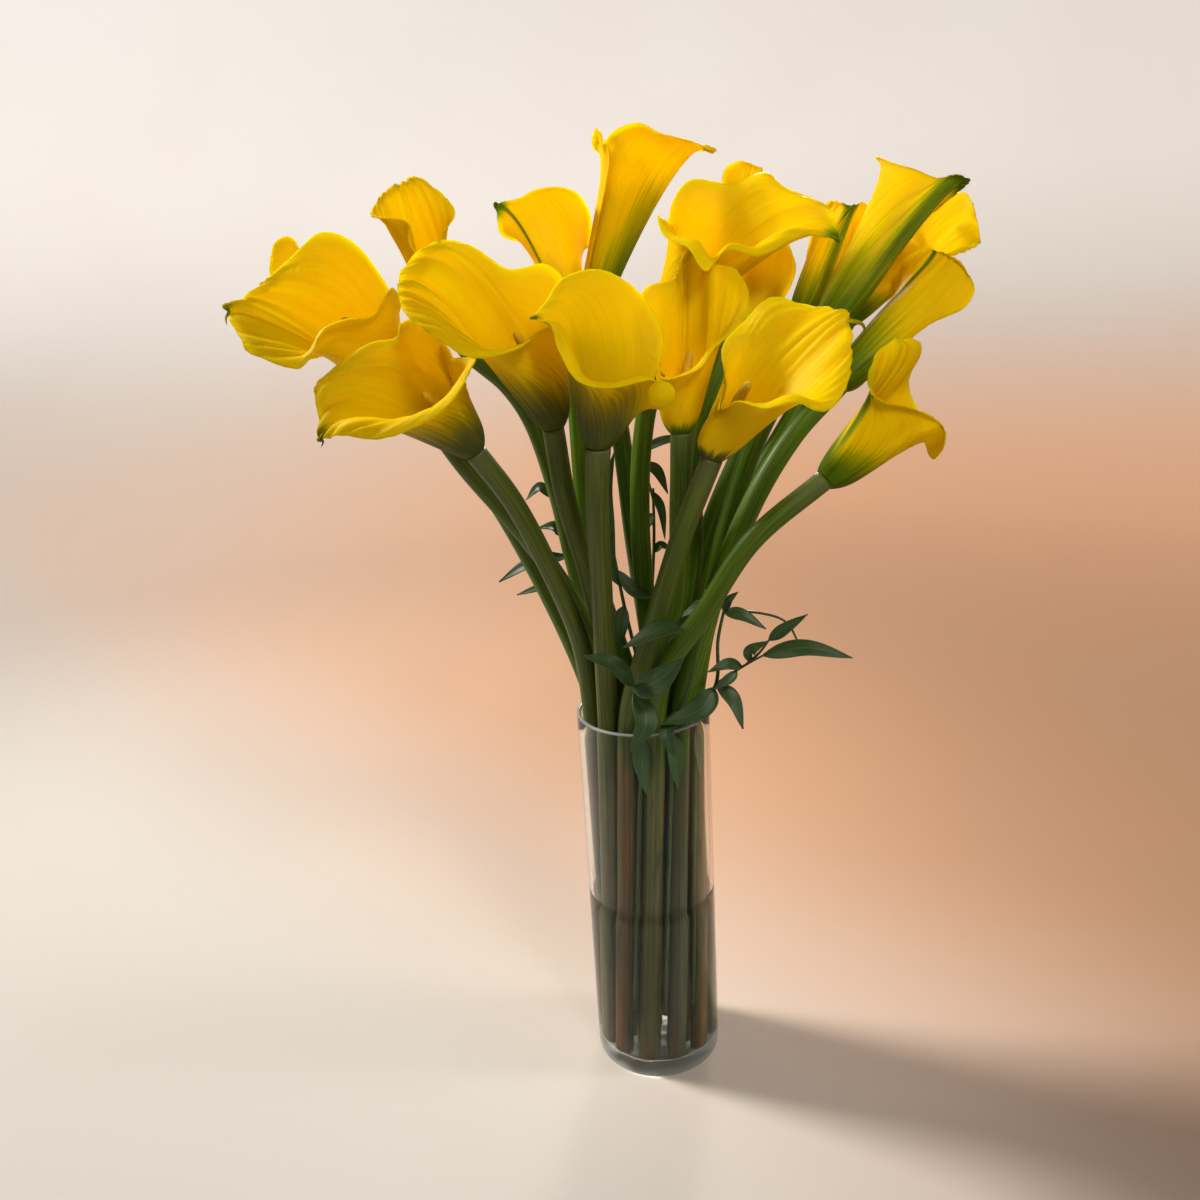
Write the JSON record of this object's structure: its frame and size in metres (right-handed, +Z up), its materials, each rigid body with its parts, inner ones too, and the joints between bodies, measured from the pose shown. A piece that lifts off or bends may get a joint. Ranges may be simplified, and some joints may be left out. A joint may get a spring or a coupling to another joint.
{
  "type": "calla lily arrangement",
  "caption": "Yellow calla lilies on thick green stems with sprays of ruscus, standing in a clear glass cylinder vase half filled with water.",
  "frame": {"origin": "centre of the vase's foot, on the surface it stands on", "axes": "+Z up along the vase; the picture was taken from the -Y side, with +X to the right"},
  "size_m": [0.5164, 0.2556, 0.7073],
  "materials": {
    "glass": "clear",
    "water": "clear",
    "stem": "satin",
    "spathe": "satin",
    "spadix": "matte",
    "foliage": "satin"
  },
  "bodies": {
    "root": {"vase": "glass", "water": "water", "stem_a": "stem", "spathe_a": "spathe", "spadix_a": "spadix", "stem_a2": "stem", "spathe_a2": "spathe", "spadix_a2": "spadix", "stem_b": "stem", "spathe_b": "spathe", "spadix_b": "spadix", "stem_c": "stem", "spathe_c": "spathe", "spadix_c": "spadix", "stem_d": "stem", "spathe_d": "spathe", "spadix_d": "spadix", "stem_e": "stem", "spathe_e": "spathe", "spadix_e": "spadix", "stem_f": "stem", "spathe_f": "spathe", "spadix_f": "spadix", "stem_g": "stem", "spathe_g": "spathe", "spadix_g": "spadix", "stem_h": "stem", "spathe_h": "spathe", "spadix_h": "spadix", "stem_i": "stem", "spathe_i": "spathe", "spadix_i": "spadix", "stem_j": "stem", "spathe_j": "spathe", "spadix_j": "spadix", "stem_k": "stem", "spathe_k": "spathe", "spadix_k": "spadix", "stem_l": "stem", "spathe_l": "spathe", "spadix_l": "spadix", "stem_m": "stem", "spathe_m": "spathe", "spadix_m": "spadix", "stem_n": "stem", "spathe_n": "spathe", "spadix_n": "spadix", "stem_o": "stem", "spathe_o": "spathe", "spadix_o": "spadix", "stem_p": "stem", "spathe_p": "spathe", "spadix_p": "spadix", "ruscus_right": "foliage", "ruscus_front": "foliage", "ruscus_middle": "foliage", "ruscus_left": "foliage", "ruscus_back": "foliage", "ruscus_centre": "foliage"}
  },
  "joints": []
}
